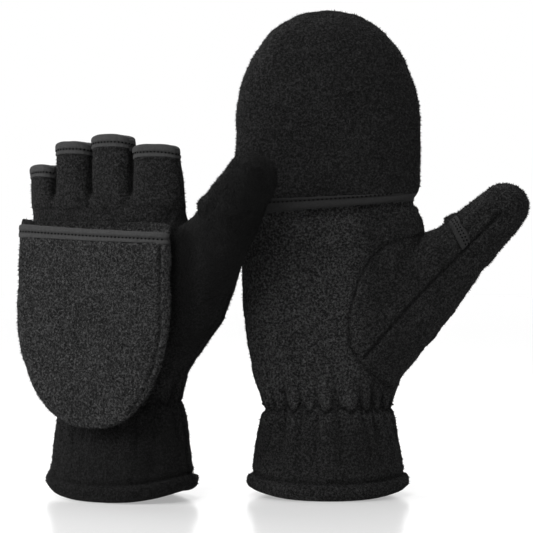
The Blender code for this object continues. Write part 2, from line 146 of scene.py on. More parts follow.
# Glove frames: each hand stands on the middle of its hem. Across runs to the thumb, back
# runs out of the back of the hand, up runs to the fingertips, and the left one sways.
UP = Vector((0.0, 0.0, 1.0))
SIDES = ("left", "right")
JOINTS = {joint["name"]: joint for joint in frame["joints"]}
gloves = {}
for side in SIDES:
    low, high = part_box(side + "_cuff_hem")
    across = -Vector(JOINTS[side + "_cap_flip"]["axis"]).normalized()
    back = UP.cross(across) if side == "right" else across.cross(UP)
    foot = Vector(((low.x + high.x) / 2, (low.y + high.y) / 2, 0.0))
    fold = Vector(JOINTS[side + "_cap_flip"]["pos_m"])
    thumb_fold = Vector(JOINTS[side + "_thumb_flip"]["pos_m"])
    tilt = Vector(JOINTS[side + "_thumb_flip"]["axis"]).normalized()
    gloves[side] = {
        "foot": foot,
        "axes": np.array((across, back, UP)),
        "sway": (fold - foot).dot(across) / fold.z / across.x,
        "thumb_fold": thumb_fold,
        "thumb_way": tilt.cross(back) if tilt.cross(back).z > 0 else back.cross(tilt),
        "thumb_outer": tilt * math.copysign(1.0, tilt.dot(across)),
    }


def to_glove(side, points):
    """World points as (across, back, up) in a glove's own frame."""
    offset = np.atleast_2d(points) - np.array(gloves[side]["foot"])
    offset[:, 0] -= gloves[side]["sway"] * offset[:, 2]
    return offset @ gloves[side]["axes"].T


def to_world(side, local):
    offset = local @ gloves[side]["axes"]
    offset[:, 0] += gloves[side]["sway"] * offset[:, 2]
    return offset + np.array(gloves[side]["foot"])


# Fleece: a brushed polyester knit with a short curled nap. The nap clumps into soft
# specks a millimetre or two wide; their colour is painted lighter on the crests (painted highlight)
# and darker between them (painted shade).
CLUMP_SCALE = 900.0
FIBRE_SCALE = 2100.0
DRIFT_SCALE = 55.0
CLUMP_SHARE = 0.55
FIBRE_SHARE = 0.45
DRIFT_SHARE = 0.05
DARKEST = 0.25
PAINTED_SHADE_STRENGTH = 0.85
nap = bpy.data.node_groups.new("fleece_nap", "ShaderNodeTree")
nap.interface.new_socket("Place", in_out="INPUT", socket_type="NodeSocketVector")
nap.interface.new_socket("Painted Shading", in_out="INPUT", socket_type="NodeSocketFloat")
nap.interface.new_socket("Colour", in_out="INPUT", socket_type="NodeSocketColor")
nap.interface.new_socket("Contrast", in_out="INPUT", socket_type="NodeSocketFloat")
nap.interface.new_socket("Colour", in_out="OUTPUT", socket_type="NodeSocketColor")
nap.interface.new_socket("Height", in_out="OUTPUT", socket_type="NodeSocketFloat")
given = nap.nodes.new("NodeGroupInput")
result = nap.nodes.new("NodeGroupOutput")


def nap_noise(scale, detail, roughness, distortion):
    made = nap.nodes.new("ShaderNodeTexNoise")
    made.inputs["Scale"].default_value = scale
    made.inputs["Detail"].default_value = detail
    made.inputs["Roughness"].default_value = roughness
    made.inputs["Distortion"].default_value = distortion
    nap.links.new(given.outputs["Place"], made.inputs["Vector"])
    return made.outputs["Fac"]


def nap_math(operation, first, second):
    made = nap.nodes.new("ShaderNodeMath")
    made.operation = operation
    for socket, value in zip(made.inputs, (first, second)):
        if isinstance(value, float):
            socket.default_value = value
        else:
            nap.links.new(value, socket)
    return made.outputs[0]


clumps = nap_noise(CLUMP_SCALE, 2.0, 0.55, 0.5)
fibres = nap_noise(FIBRE_SCALE, 2.0, 0.7, 1.0)
drift = nap_noise(DRIFT_SCALE, 2.0, 0.5, 0.0)
# Painted shade and highlight: the colour follows the same height as the bump, darker in the hollows
# and lighter on the crests; the drift patches are the cloth's own uneven tone.
coarse = nap_math("MULTIPLY", clumps, CLUMP_SHARE)
fine = nap_math("MULTIPLY", fibres, FIBRE_SHARE)
height = nap_math("ADD", coarse, fine)
patches = nap_math("MULTIPLY", nap_math("SUBTRACT", drift, 0.5), DRIFT_SHARE)
swing = nap_math("ADD", nap_math("SUBTRACT", height, 0.5), patches)
gain = nap_math("ADD", nap_math("MULTIPLY", swing, given.outputs["Contrast"]), 1.0)
gain = nap_math("MAXIMUM", gain, DARKEST)
# Painted shade: the per-point shading attribute darkens the colour.
painted_dimming = nap_math("MULTIPLY", given.outputs["Painted Shading"], PAINTED_SHADE_STRENGTH)
gain = nap_math("MULTIPLY", gain, nap_math("SUBTRACT", 1.0, painted_dimming))
shade = nap.nodes.new("ShaderNodeVectorMath")
shade.operation = "SCALE"
nap.links.new(given.outputs["Colour"], shade.inputs[0])
nap.links.new(gain, shade.inputs["Scale"])
nap.links.new(shade.outputs["Vector"], result.inputs["Colour"])
nap.links.new(height, result.inputs["Height"])


def fleece(name, colour, contrast=16.0, depth=0.0046):
    """One cloth: the nap group drives its colour, with painted shade and highlight, and its bump;
    sheen stays on the shader.
    """
    made = bpy.data.materials.new(name)
    made.use_nodes = True
    tree = made.node_tree
    shader = tree.nodes["Principled BSDF"]
    shader.inputs["Roughness"].default_value = 0.95
    shader.inputs["Specular IOR Level"].default_value = 0.10
    shader.inputs["Sheen Weight"].default_value = 0.06
    shader.inputs["Sheen Roughness"].default_value = 0.5
    shader.inputs["Sheen Tint"].default_value = (0.5, 0.5, 0.5, 1.0)
    place = tree.nodes.new("ShaderNodeTexCoord")
    painted_shading = tree.nodes.new("ShaderNodeAttribute")
    painted_shading.attribute_name = "painted_shading"
    cloth = tree.nodes.new("ShaderNodeGroup")
    cloth.node_tree = nap
    cloth.inputs["Colour"].default_value = (*colour, 1.0)
    cloth.inputs["Contrast"].default_value = contrast
    bump = tree.nodes.new("ShaderNodeBump")
    bump.inputs["Strength"].default_value = 0.9
    bump.inputs["Distance"].default_value = depth
    tree.links.new(place.outputs["Object"], cloth.inputs["Place"])
    tree.links.new(painted_shading.outputs["Fac"], cloth.inputs["Painted Shading"])
    tree.links.new(cloth.outputs["Colour"], shader.inputs["Base Color"])
    tree.links.new(cloth.outputs["Height"], bump.inputs["Height"])
    tree.links.new(bump.outputs["Normal"], shader.inputs["Normal"])
    return made


# Soft bodies: each cloth piece is drawn over its frame solids, then pulled in along its
# seams and left a little uneven, as cut and sewn cloth is.
def soften(name, solids, voxel, grow, rounds):
    """Cloth skin over frame solids: fused into one body, evened out and rounded off."""
    bm = bmesh.new()
    for solid in solids:
        bm.from_mesh(solid)
    bmesh.ops.remove_doubles(bm, verts=bm.verts[:], dist=1e-6)
    bm.normal_update()
    swollen = [v.co + v.normal * grow for v in bm.verts]
    for vert, place in zip(bm.verts, swollen):
        vert.co = place
    rough = bpy.data.meshes.new(name)
    bm.to_mesh(rough)
    bm.free()
    made = bpy.data.objects.new(name, rough)
    scene.collection.objects.link(made)
    fuse = made.modifiers.new("fuse", "REMESH")
    fuse.mode = "VOXEL"
    fuse.voxel_size = voxel
    ready = made.evaluated_get(bpy.context.evaluated_depsgraph_get())
    made.data = bpy.data.meshes.new_from_object(ready)
    made.data.name = name
    made.modifiers.clear()
    bm = bmesh.new()
    bm.from_mesh(made.data)
    for _ in range(rounds):
        bmesh.ops.smooth_vert(
            bm, verts=bm.verts[:], factor=0.5, use_axis_x=True, use_axis_y=True, use_axis_z=True,
        )
    for face in bm.faces:
        face.smooth = True
    bm.to_mesh(made.data)
    bm.free()
    return made


def points_of(piece):
    place = np.empty(len(piece.data.vertices) * 3)
    piece.data.vertices.foreach_get("co", place)
    return place.reshape(-1, 3)


def put_points(piece, places):
    piece.data.vertices.foreach_set("co", places.ravel())
    piece.data.update()


def push(piece, lift):
    """Move every point out along its normal by its own lift."""
    normals = np.empty(len(piece.data.vertices) * 3)
    piece.data.vertex_normals.foreach_get("vector", normals)
    put_points(piece, points_of(piece) + normals.reshape(-1, 3) * lift[:, None])


def mark(piece, label, values):
    made = piece.data.attributes.new(label, "FLOAT", "POINT")
    made.data.foreach_set("value", np.asarray(values, dtype=np.float32))


def paint_shading(piece, painted_shading):
    """Store painted shade on each point, where shade falls in seams, slits, creases and under lips, so
    the nap is painted darker there.
    """
    mark(piece, "painted_shading", np.clip(painted_shading, 0, 1))


def ruffle(places, size, seed):
    """Unevenness of soft cloth: smooth noise of one size, between -1 and 1."""
    shift = Vector((seed * 0.37, seed * 0.71, seed * 0.13))
    return np.array([noise.noise(Vector(p) / size + shift) for p in places])


def uneven(places, waves):
    """Lift of cloth that never lies quite flat: waves of (height, size, seed)."""
    return sum(height * ruffle(places, size, seed) for height, size, seed in waves)


def bell(distance, width):
    return np.exp(-(distance / width) ** 2)


def groove(distance, width):
    """A sewn line: drawn in along the thread, puffed up on both sides of it."""
    puff = bell(np.abs(distance) - 2.4 * width, 1.3 * width)
    return 0.45 * puff - bell(distance, width)


def near_path(local, path):
    """Distance in the palm's plane from each point to a sewn path of (across, up) corners."""
    best = np.full(len(local), 1.0)
    flat = local[:, (0, 2)]
    for start, end in zip(path[:-1], path[1:]):
        start = np.array(start)
        run = np.array(end) - start
        share = np.clip(((flat - start) @ run) / (run @ run), 0, 1)
        best = np.minimum(best, np.linalg.norm(flat - start - share[:, None] * run, axis=1))
    return best


# Standing nap: single tufts of fibre that brushing has raised from the knit. They are part
# of the fleece, soften its edge against the light and are flattened under the tapes.
TUFT_RADIUS = 0.00024
TUFT_LENGTH = (0.0006, 0.0013)
TUFT_LEAN = 0.45
# Painted highlight: each tuft's tip is painted lighter than its root.
TIP_HIGHLIGHT = 0.35


def tufts(piece, count, seed):
    """Small leaning cones strewn over a cloth piece, bare under its tapes."""
    mesh = piece.data
    mesh.calc_loop_triangles()
    corners = np.empty(len(mesh.loop_triangles) * 3, dtype=np.int32)
    mesh.loop_triangles.foreach_get("vertices", corners)
    corners = corners.reshape(-1, 3)
    places = points_of(piece)
    marks = {}
    for label in ("painted_shading", "bald"):
        marks[label] = np.empty(len(places), dtype=np.float32)
        mesh.attributes[label].data.foreach_get("value", marks[label])
    first, second, third = (places[corners[:, k]] for k in range(3))
    facing = np.cross(second - first, third - first)
    area = np.linalg.norm(facing, axis=1) * (marks["bald"][corners].max(axis=1) < 0.5)
    dice = np.random.default_rng(seed)
    picked = dice.choice(len(area), count, p=area / area.sum())
    share = dice.dirichlet((1.0, 1.0, 1.0), count)
    root = (places[corners[picked]] * share[:, :, None]).sum(axis=1)
    normal = facing[picked] / np.linalg.norm(facing[picked], axis=1)[:, None]
    way = normal + dice.normal(0.0, TUFT_LEAN, (count, 3))
    way /= np.linalg.norm(way, axis=1)[:, None]
    beside = np.cross(way, dice.normal(0.0, 1.0, (count, 3)))
    beside /= np.linalg.norm(beside, axis=1)[:, None]
    around = np.cross(way, beside)
    length = dice.uniform(*TUFT_LENGTH, count)
    points = np.empty((count, 4, 3))
    for k in range(3):
        turn = 2 * math.pi * k / 3
        points[:, k] = root - normal * TUFT_RADIUS
        points[:, k] += TUFT_RADIUS * (math.cos(turn) * beside + math.sin(turn) * around)
    points[:, 3] = root + way * length[:, None]
    cone = np.array(((0, 2, 1), (0, 1, 3), (1, 2, 3), (2, 0, 3)))
    faces = (np.arange(count)[:, None, None] * 4 + cone).reshape(-1, 3)
    strewn = bpy.data.meshes.new(piece.name + "_nap")
    strewn.from_pydata(points.reshape(-1, 3).tolist(), [], faces.tolist())
    strewn.materials.append(mesh.materials[0])
    made = bpy.data.objects.new(piece.name + "_nap", strewn)
    scene.collection.objects.link(made)
    # Each tuft carries the painted shade at its root, and its tip is painted lighter as a painted
    # highlight.
    dark = np.repeat((marks["painted_shading"][corners[picked]] * share).sum(axis=1), 4)
    mark(made, "painted_shading", dark - np.tile((0.0, 0.0, 0.0, TIP_HIGHLIGHT), count))
    return made


# Hands: palm and back panels sewn at the sides, half-finger stalls running up from them,
# a turned hem below and the thumb set in at the palm. Double-faced fleece, drawn in at the
# wrist by a hidden elastic.
FINGERS = ("little", "ring", "middle", "index")
# One fleece in two lit copies: the left hand is painted darker (painted shade), the right lighter
# (painted light).
HAND_FLEECE_PAINTED_LIGHT = {"left": (0.0165, 0.0165, 0.0167), "right": (0.0410, 0.0410, 0.0413)}
HAND_VOXEL = 0.00122
HAND_GROW = 0.00035
HAND_ROUNDS = 22
HAND_UNEVEN = ((0.00060, 0.014, 3.0), (0.00036, 0.0023, 5.0))
HAND_TUFTS = 36000
HAND_TUFT_SEED = 51
THUMB_TUFTS = 7000
THUMB_TUFT_SEED = 53
WRIST = (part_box("right_wrist_elastic")[0].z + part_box("right_wrist_elastic")[1].z) / 2
HEM_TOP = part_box("right_cuff_hem")[1].z
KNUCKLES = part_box("right_index_stall")[0].z
CUFF_HALF = (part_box("right_cuff_hem")[1].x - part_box("right_cuff_hem")[0].x) / 2
THUMB_START = 0.052
THUMB_HALF_DEPTH = 0.0136
THUMB_REACH = 0.026
FOLD_ROOM = 0.004
SLIT_SLANT = 0.0055
SLIT_HALF = 0.0155
STRAP_BED = (-0.0005, 0.0078)
RIM_SWELL = 0.0024
RIM_SWELL_RUN = 0.014
TAPE_SHARE = 0.78
TAPE_MARGIN = 0.001
# Painted shade per side: start and run of the thumb's side, then how dark the thumb's side and the
# cuff are painted.
PAINTED_SIDE_SHADE = {"left": (0.030, 0.025, 0.96, 0.66), "right": (0.010, 0.014, 0.57, 0.58)}
SHADE_STREAK_STRETCH = (1.0, 1.0, 0.22)
WEB = {
    "left": ((0.0450, 0.1450, 0.0015),),
    "right": ((0.0470, 0.1410, 0.0046), (0.0500, 0.1510, 0.0026), (0.0560, 0.0880, -0.0022)),
}
WEB_WIDTH = 0.012
GUSSET = (
    (0.0470, 0.1425), (0.0320, 0.1380), (0.0220, 0.1295), (0.0155, 0.1175),
    (0.0118, 0.1040), (0.0105, 0.0930), (0.0120, 0.0810), (0.0215, 0.0690), (0.0330, 0.0595),
)
LONG_SEAM = (0.024, 0.0, -0.042)
THUMB_HEEL = (0.0185, 0.0760)
THUMB_SLEEVE = 0.030
FADE = 0.006
FOOT_ROOM = 0.002
HEM_DIP = 0.0010
HEM_ROLL = 0.0003
STALL_PUFF = 0.0013
SLIT_DEPTH = 0.0026
SLIT_SHADE = 0.85
LIP_SHADE = 0.6
LIP_WIDTH = 0.0008
TAPE_BED = -0.0003
CAP_BED = 0.0004
STRAP_DEPTH = -0.0012
STREAK_SIZE = 0.0085
STREAK_SEED = 41.0
STREAK_SHADE = 0.30


def span(side, node):
    """Lowest and highest corner of a frame solid, measured in its glove's frame."""
    local = to_glove(side, np.array([v.co for v in frame["nodes"][node].data.vertices]))
    return local.min(axis=0), local.max(axis=0)


HEM_RISE = {"left": 0.0070, "right": 0.0045}
HEM_RISE_TOP = 0.040
BELLY_SHARE = 0.040
BELLY_HEIGHT = 0.029
BELLY_WIDTH = 0.014
HEM_NIP = 0.014
HEM_NIP_WIDTH = 0.003
WRIST_SLACK = 0.095
WRIST_LIFT = 0.0050
SLACK_RUN = 0.030


def drape(side, local):
    """How the cloth hangs: hem corners riding up, cuff bellied out, left wrist looser."""
    hung = local.copy()
    out = np.clip(np.abs(local[:, 0]) / CUFF_HALF, 0, 1)
    hung[:, 2] += HEM_RISE[side] * out ** 3 * np.clip(1 - local[:, 2] / HEM_RISE_TOP, 0, 1)
    belly = BELLY_SHARE * bell(local[:, 2] - BELLY_HEIGHT, BELLY_WIDTH)
    hung[:, 0] *= 1 + belly - HEM_NIP * bell(local[:, 2] - HEM_TOP, HEM_NIP_WIDTH)
    if side == "left":
        slack = WRIST_SLACK * bell(local[:, 2] - WRIST + 0.002, SLACK_RUN)
        hung[:, 0] *= 1 + slack * (local[:, 0] > 0)
        thumb_side = np.clip(local[:, 0] / SLACK_RUN, 0, 1)
        hung[:, 2] += WRIST_LIFT * bell(local[:, 2] - WRIST, 0.026) * thumb_side
    return hung


FLAT_START = 0.130
FLAT_RUN = 0.065
FLAT_SHARE = 0.45
FLAT_LEVEL = 0.0155
INDEX_START = 0.026
INDEX_RUN = 0.018
INDEX_LEAN = 0.0020


def flatten(side, local):
    """Empty left stalls lie flatter than the frame's, and the index one leans out."""
    if side == "left":
        hand_only = local[:, 0] < THUMB_START
        share = FLAT_SHARE * np.clip((local[:, 2] - FLAT_START) / FLAT_RUN, 0, 1) * hand_only
        local[:, 1] -= share * (local[:, 1] - FLAT_LEVEL)
        index = np.clip((local[:, 0] - INDEX_START) / INDEX_RUN, 0, 1) * hand_only
        local[:, 0] += INDEX_LEAN * index * np.clip((local[:, 2] - 0.150) / 0.020, 0, 1)
    return local


GATHER_FOLDS = 11
GATHER_REACH = 0.012
GATHER_PUFF = 0.0014
GATHER_CREASE = 0.0028
GATHER_SHADE = 0.70
WRIST_LINE = 0.0020
WRIST_SHADE = 0.95
WRIST_RADII = (0.042, 0.030)


def gathers(side, local):
    """Folds beside the wrist elastic: (lift, painted shade in the creases and along the wrist line),
    each fold of its own size and reach.
    """
    angle = np.arctan2(local[:, 1] / WRIST_RADII[1], local[:, 0] / WRIST_RADII[0])
    ring = np.stack((np.cos(angle), np.sin(angle), np.zeros(len(angle))), axis=1)
    own = 1 + 0.7 * ruffle(ring, 0.24, 31.0)
    reach = 1 + 0.6 * ruffle(ring, 0.30, 37.0)
    phase = GATHER_FOLDS * angle + 0.8 * np.sin(3 * angle + 1.3) + 0.4 * np.sin(7 * angle)
    away = (local[:, 2] - WRIST - 0.0021 * np.cos(2 * phase)) / GATHER_REACH
    upward = np.exp(-away / (0.95 * reach))
    downward = np.exp(away / (1.35 * reach))
    fade = np.where(away > 0, upward, downward) * own
    crease = (1 - np.abs(np.sin(phase + 0.25 * away))) ** 1.8
    line = bell(away, 0.11)
    size = 1.0 if side == "right" else 0.30 + 0.60 * np.clip(local[:, 0] / SLACK_RUN, 0, 1)
    puff = (1 - crease) * fade * np.minimum(np.abs(away) * 1.6, 1.0)
    lift = size * (GATHER_PUFF * puff - GATHER_CREASE * crease * fade - WRIST_LINE * line)
    return lift, np.maximum(WRIST_SHADE * line, size * GATHER_SHADE * crease * fade)


CROWN_DROP = 0.0022
CROWN_RUN = 0.016


def crown(side, local):
    """Finger openings sit a little higher in front and behind than between the fingers."""
    drop = np.zeros(len(local))
    for finger in FINGERS:
        low, high = span(side, side + "_" + finger + "_binding")
        half = (high[0] - low[0]) / 2
        out = np.abs(local[:, 0] - (low[0] + high[0]) / 2) / half
        rise = np.clip((local[:, 2] - high[2] + CROWN_RUN) / CROWN_RUN, 0, 1)
        here = (out < 1.08) & (local[:, 2] > KNUCKLES)
        drop = np.where(here, CROWN_DROP * out ** 3 * rise, drop)
    return drop


def thumb_share(side, places):
    """How far along the thumb, and how far from its axis, each point lies."""
    offset = places - np.array(gloves[side]["thumb_fold"])
    way = np.array(gloves[side]["thumb_way"])
    along = offset @ way
    axis = offset + gloves[side]["axes"][1] * THUMB_HALF_DEPTH
    apart = np.linalg.norm(axis - np.outer(axis @ way, way), axis=1)
    return along, apart


def beside_thumb(side, places):
    """How far out from the middle of the thumb's fold each point lies."""
    return (places - np.array(gloves[side]["thumb_fold"])) @ np.array(gloves[side]["thumb_outer"])


def slant(side, places):
    """How far towards the palm the slit of the thumb has run on its way to the long seam."""
    return SLIT_SLANT * np.clip(beside_thumb(side, places) / SLIT_HALF + 1, 0, 1)


for side in SIDES:
    names = [side + "_palm_panel", side + "_back_panel", side + "_cuff_hem"]
    names += [side + "_" + finger + "_stall" for finger in FINGERS]
    thumb_names = [side + "_thumb_outer_panel", side + "_thumb_pad_panel", side + "_thumb_cap"]
    bridge = frame["nodes"][side + "_thumb_cap_binding"].data.copy()
    local = to_glove(side, np.array([v.co for v in bridge.vertices]))
    local[:, 1] = -local[:, 1]
    bridge.vertices.foreach_set("co", to_world(side, local).ravel())
    bridge.flip_normals()
    solids = [frame["nodes"][n].data for n in names + thumb_names]
    solids += [bridge, frame["nodes"][side + "_thumb_cap_binding"].data]
    hand = soften(side + "_hand", solids, HAND_VOXEL, HAND_GROW, HAND_ROUNDS)
    local = to_glove(side, points_of(hand))
    hung = drape(side, local)
    hung[:, 2] -= crown(side, local)
    put_points(hand, to_world(side, flatten(side, hung)))
    places = points_of(hand)
    along, apart = thumb_share(side, places)
    thumb = (apart < THUMB_REACH) & (along > -THUMB_SLEEVE)
    below = 1 - np.clip((local[:, 2] - KNUCKLES + FADE) / FADE, 0, 1)
    cuff = np.clip((local[:, 2] - HEM_TOP) / FADE, 0, 1)
    lift, painted_shading = gathers(side, local)
    lift *= below * cuff
    painted_shading *= below * cuff
    for across, up, size in WEB[side]:
        lift += size * bell(np.hypot(local[:, 0] - across, local[:, 2] - up), WEB_WIDTH)
    lift += uneven(places, HAND_UNEVEN)

    # Sewn lines: side seams, thumb gusset on the palm, long seam of the thumb, hem. Each is
    # a distance, a width, a depth, a darkness of painted shade in its groove and the cloth that it
    # shows on.
    fold = gloves[side]["thumb_fold"]
    run = gloves[side]["thumb_way"]
    ends = [to_glove(side, np.array(fold + run * reach))[0] for reach in LONG_SEAM]
    long_seam = [(end[0], end[2]) for end in ends] + [THUMB_HEEL]
    palm = np.clip((-local[:, 1] - 0.003) / 0.003, 0, 1)
    sewn = (
        (local[:, 1], 0.0011, 0.0012, 0.6, below * ~thumb * (np.abs(local[:, 0]) > 0.02)),
        (near_path(local, GUSSET), 0.0010, 0.0013, 0.5, palm * ~thumb),
        (near_path(local, long_seam), 0.0010, 0.0013, 0.7, palm),
        (local[:, 2] - HEM_TOP - 0.0004, 0.0011, 0.0010, 0.7, 1.0),
    )
    for distance, width, depth, dark, where in sewn:
        lift += depth * groove(distance, width) * where
        painted_shading = np.maximum(painted_shading, dark * bell(distance, width) * where)
    lift -= HEM_DIP * bell(local[:, 2] - HEM_TOP + HEM_DIP, 0.0022)
    lift += HEM_ROLL * bell(local[:, 2] - HEM_TOP / 2, 0.0034)

    # Slits between the stalls stay open, and the cloth lies flat under the finger tapes.
    edges = [[end[0] for end in span(side, side + "_" + finger + "_stall")] for finger in FINGERS]
    lift += STALL_PUFF * np.clip((local[:, 2] - KNUCKLES + 0.004) / 0.010, 0, 1) * ~thumb
    tall = np.clip((local[:, 2] - KNUCKLES - 0.004) / 0.004, 0, 1) * ~thumb
    for lower, upper in zip(edges[:-1], edges[1:]):
        slit = local[:, 0] - (lower[1] + upper[0]) / 2
        lift -= SLIT_DEPTH * bell(slit, 0.0018) * tall
        # Painted shade in each slit between the stalls.
        painted_shading = np.maximum(painted_shading, SLIT_SHADE * bell(slit, 0.0015) * tall)
    bald = np.zeros(len(local), dtype=bool)
    for finger, edge in zip(FINGERS, edges):
        taped = (local[:, 0] > edge[0] - TAPE_MARGIN) & (local[:, 0] < edge[1] + TAPE_MARGIN)
        taped &= (local[:, 2] > KNUCKLES) & ~thumb
        low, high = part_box(side + "_" + finger + "_binding")
        lip = local[:, 2] - high.z + TAPE_SHARE * (high.z - low.z)
        pressed = np.where(lip > 0.0006, TAPE_BED, np.minimum(lift, 0.0009))
        lift = np.where(taped, pressed, lift)
        # Painted shadow just below the lip of each finger tape.
        painted_shading = np.maximum(painted_shading, LIP_SHADE * bell(lip + LIP_WIDTH, LIP_WIDTH) * taped)
        bald |= taped & (lip > -0.0010)
    if side == "left":
        covered = (local[:, 1] > 0.004) & (local[:, 2] > WRIST) & (local[:, 2] < KNUCKLES) & ~thumb
        lift = np.where(covered, np.minimum(lift, 0.0) - CAP_BED, lift)

    # The cap of the thumb swells at its rim, and its tape is let into the cloth.
    past = along + slant(side, places)
    beside = beside_thumb(side, places)
    on_thumb = apart < THUMB_REACH
    strap = (past > STRAP_BED[0]) & (past < STRAP_BED[1]) & (local[:, 1] < -0.002) & on_thumb
    strap &= beside < 0.0005
    swell = np.clip(past / 0.0015, 0, 1) * np.exp(-np.maximum(along, 0.0) / RIM_SWELL_RUN) * on_thumb
    lift += RIM_SWELL * swell * np.clip((-beside - 0.006) / 0.004, 0, 1)
    lift = np.where(strap, STRAP_DEPTH, lift)
    bald |= strap
    lift *= np.clip(local[:, 2] / FOOT_ROOM, 0, 1)
    push(hand, lift)

    # Painted shade: the thumb's side and the cuff are painted darker, broken by streaks along soft
    # folds.
    shade_start, shade_run, thumb_shade, cuff_shade = PAINTED_SIDE_SHADE[side]
    thumb_side = np.clip((local[:, 0] - shade_start) / shade_run, 0, 1) * (local[:, 2] > WRIST)
    fingerless = np.clip((KNUCKLES + 0.004 - local[:, 2]) / 0.010, 0, 1)
    thumb_side *= fingerless + (local[:, 0] > THUMB_START)
    low_down = np.clip((WRIST - local[:, 2]) / 0.012, 0, 1)
    side_shade = np.maximum(thumb_shade * np.clip(thumb_side, 0, 1), cuff_shade * low_down)
    shade_streaks = ruffle(local * np.array(SHADE_STREAK_STRETCH), STREAK_SIZE, STREAK_SEED)
    side_shade *= 1 + STREAK_SHADE * np.minimum(shade_streaks, 0.3) * (local[:, 2] > WRIST)
    paint_shading(hand, 1 - (1 - painted_shading) * (1 - side_shade))
    mark(hand, "bald", bald | (local[:, 2] < FOOT_ROOM))
    hand.data.materials.append(fleece(side + "_hand_fleece_painted_light", HAND_FLEECE_PAINTED_LIGHT[side]))

    # The thumb's tip leaves the hand along one ring of faces, so the cloth stays unbroken.
    tip = hand.copy()
    tip.data = hand.data.copy()
    tip.name = side + "_thumb_tip"
    tip.data.name = tip.name
    scene.collection.objects.link(tip)
    moving = (along > -FOLD_ROOM) & on_thumb
    for piece, wanted in ((hand, False), (tip, True)):
        bm = bmesh.new()
        bm.from_mesh(piece.data)
        spare = [f for f in bm.faces if bool(moving[f.verts[0].index]) != wanted]
        bmesh.ops.delete(bm, geom=spare, context="FACES")
        bm.to_mesh(piece.data)
        bm.free()
    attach(hand, "gloves")
    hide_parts(*names, *thumb_names[:2])
    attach(tufts(hand, HAND_TUFTS, HAND_TUFT_SEED), "gloves")
    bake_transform(tip)
    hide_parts(thumb_names[2])
    fuzz = tufts(tip, THUMB_TUFTS, THUMB_TUFT_SEED)
    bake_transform(fuzz)


# Flip caps: two rounded panels sewn together round the edge, joined to the back of the
# hand along the fold. The open one lies flat with a sagging mouth, the closed one is filled
# by the fingers and sits a little askew on them.
# One fleece in two lit copies: the open left cap is painted lighter (painted light), the closed right
# one darker (painted shade).
CAP_FLEECE_PAINTED_LIGHT = {"left": (0.0360, 0.0360, 0.0363), "right": (0.0160, 0.0160, 0.0162)}
CAP_VOXEL = 0.0010
CAP_GROW = 0.00025
CAP_ROUNDS = 24
CAP_UNEVEN = ((0.0006, 0.016, 17.0), (0.00036, 0.0023, 19.0))
CAP_TUFTS = 32000
CAP_TUFT_SEED = 57
CAP_DOME = 0.064
DOME_TURNS = np.radians(np.linspace(0, 84, 6))
DOME_ROUND = 0.93
HANG = {
    "left": {
        "drop": 0.0014, "sag": 0.0007, "tilt": 0.0028,
        "narrow": 0.94, "shift": 0.0022, "swing": 0.0062,
    },
    "right": {
        "drop": 0.0, "sag": 0.0, "tilt": 0.0032,
        "narrow": 1.0, "shift": 0.0, "swing": 0.0,
    },
}
MOUTH_TAPER = {"left": 0.0, "right": 0.0026}
MOUTH_GIVE = 0.032
CORNER = {"left": 0.0, "right": 0.062}
CORNER_RUN = 0.013
SEAM_LEAN = {"left": 0.033, "right": 0.147}
POCKET = {"left": (-0.0005, 0.0030), "right": (-0.0170, 0.0180)}
TAPE_HEIGHT = 0.0070
EDGE_SEAM = 0.0052
EDGE_SEAM_WIDTH = 0.0008
RIM_SEAM_WIDTH = 0.0011
caps = {}


def mouth_fall(side, wide):
    """How far the mouth has come down, at a share of its half width."""
    hang = HANG[side]
    return hang["drop"] + hang["sag"] * (1 - wide ** 2) + hang["tilt"] * wide


def settle_cap(side, piece, squeeze=1.0):
    """Round off the tip between the frame's facets, hang the flap, let its mouth sag and tilt."""
    cap = caps[side]
    axes = np.array((cap["across"], cap["way"], cap["out"]))
    spot = (points_of(piece) - np.array(cap["flip"])) @ axes.T
    tip = axes @ np.array(cap["tip"] - cap["flip"])
    rise = np.clip((spot[:, 1] - tip[1] + CAP_DOME) / CAP_DOME, 0, 1)
    chord = np.interp(rise, np.sin(DOME_TURNS), np.cos(DOME_TURNS) ** DOME_ROUND)
    arc = np.sqrt(1 - rise ** 2) ** DOME_ROUND
    hang = HANG[side]
    spot[:, 0] *= np.where(rise < math.sin(DOME_TURNS[-1]), arc / chord, 1.0)
    wide = spot[:, 0] / cap["half"]
    corner = np.clip(1 - (spot[:, 1] - cap["mouth"]) / CORNER_RUN, 0, 1)
    spot[:, 0] *= 1 - CORNER[side] * corner ** 2
    spot[:, 0] = spot[:, 0] * hang["narrow"] * squeeze + hang["shift"]
    spot[:, 0] += hang["swing"] * np.clip(spot[:, 1] / tip[1], 0, 1)
    near = np.clip(1.15 - spot[:, 1] / MOUTH_GIVE, 0, 1)
    near *= np.clip((spot[:, 2] - tip[2]) / 0.003, 0, 1)
    edge = np.clip(1 - (spot[:, 1] - cap["mouth"]) / TAPE_HEIGHT, 0, 1) * (1 + wide) / 2
    spot[:, 1] += (mouth_fall(side, wide) + MOUTH_TAPER[side] * edge) * near
    put_points(piece, spot @ axes + np.array(cap["flip"]))


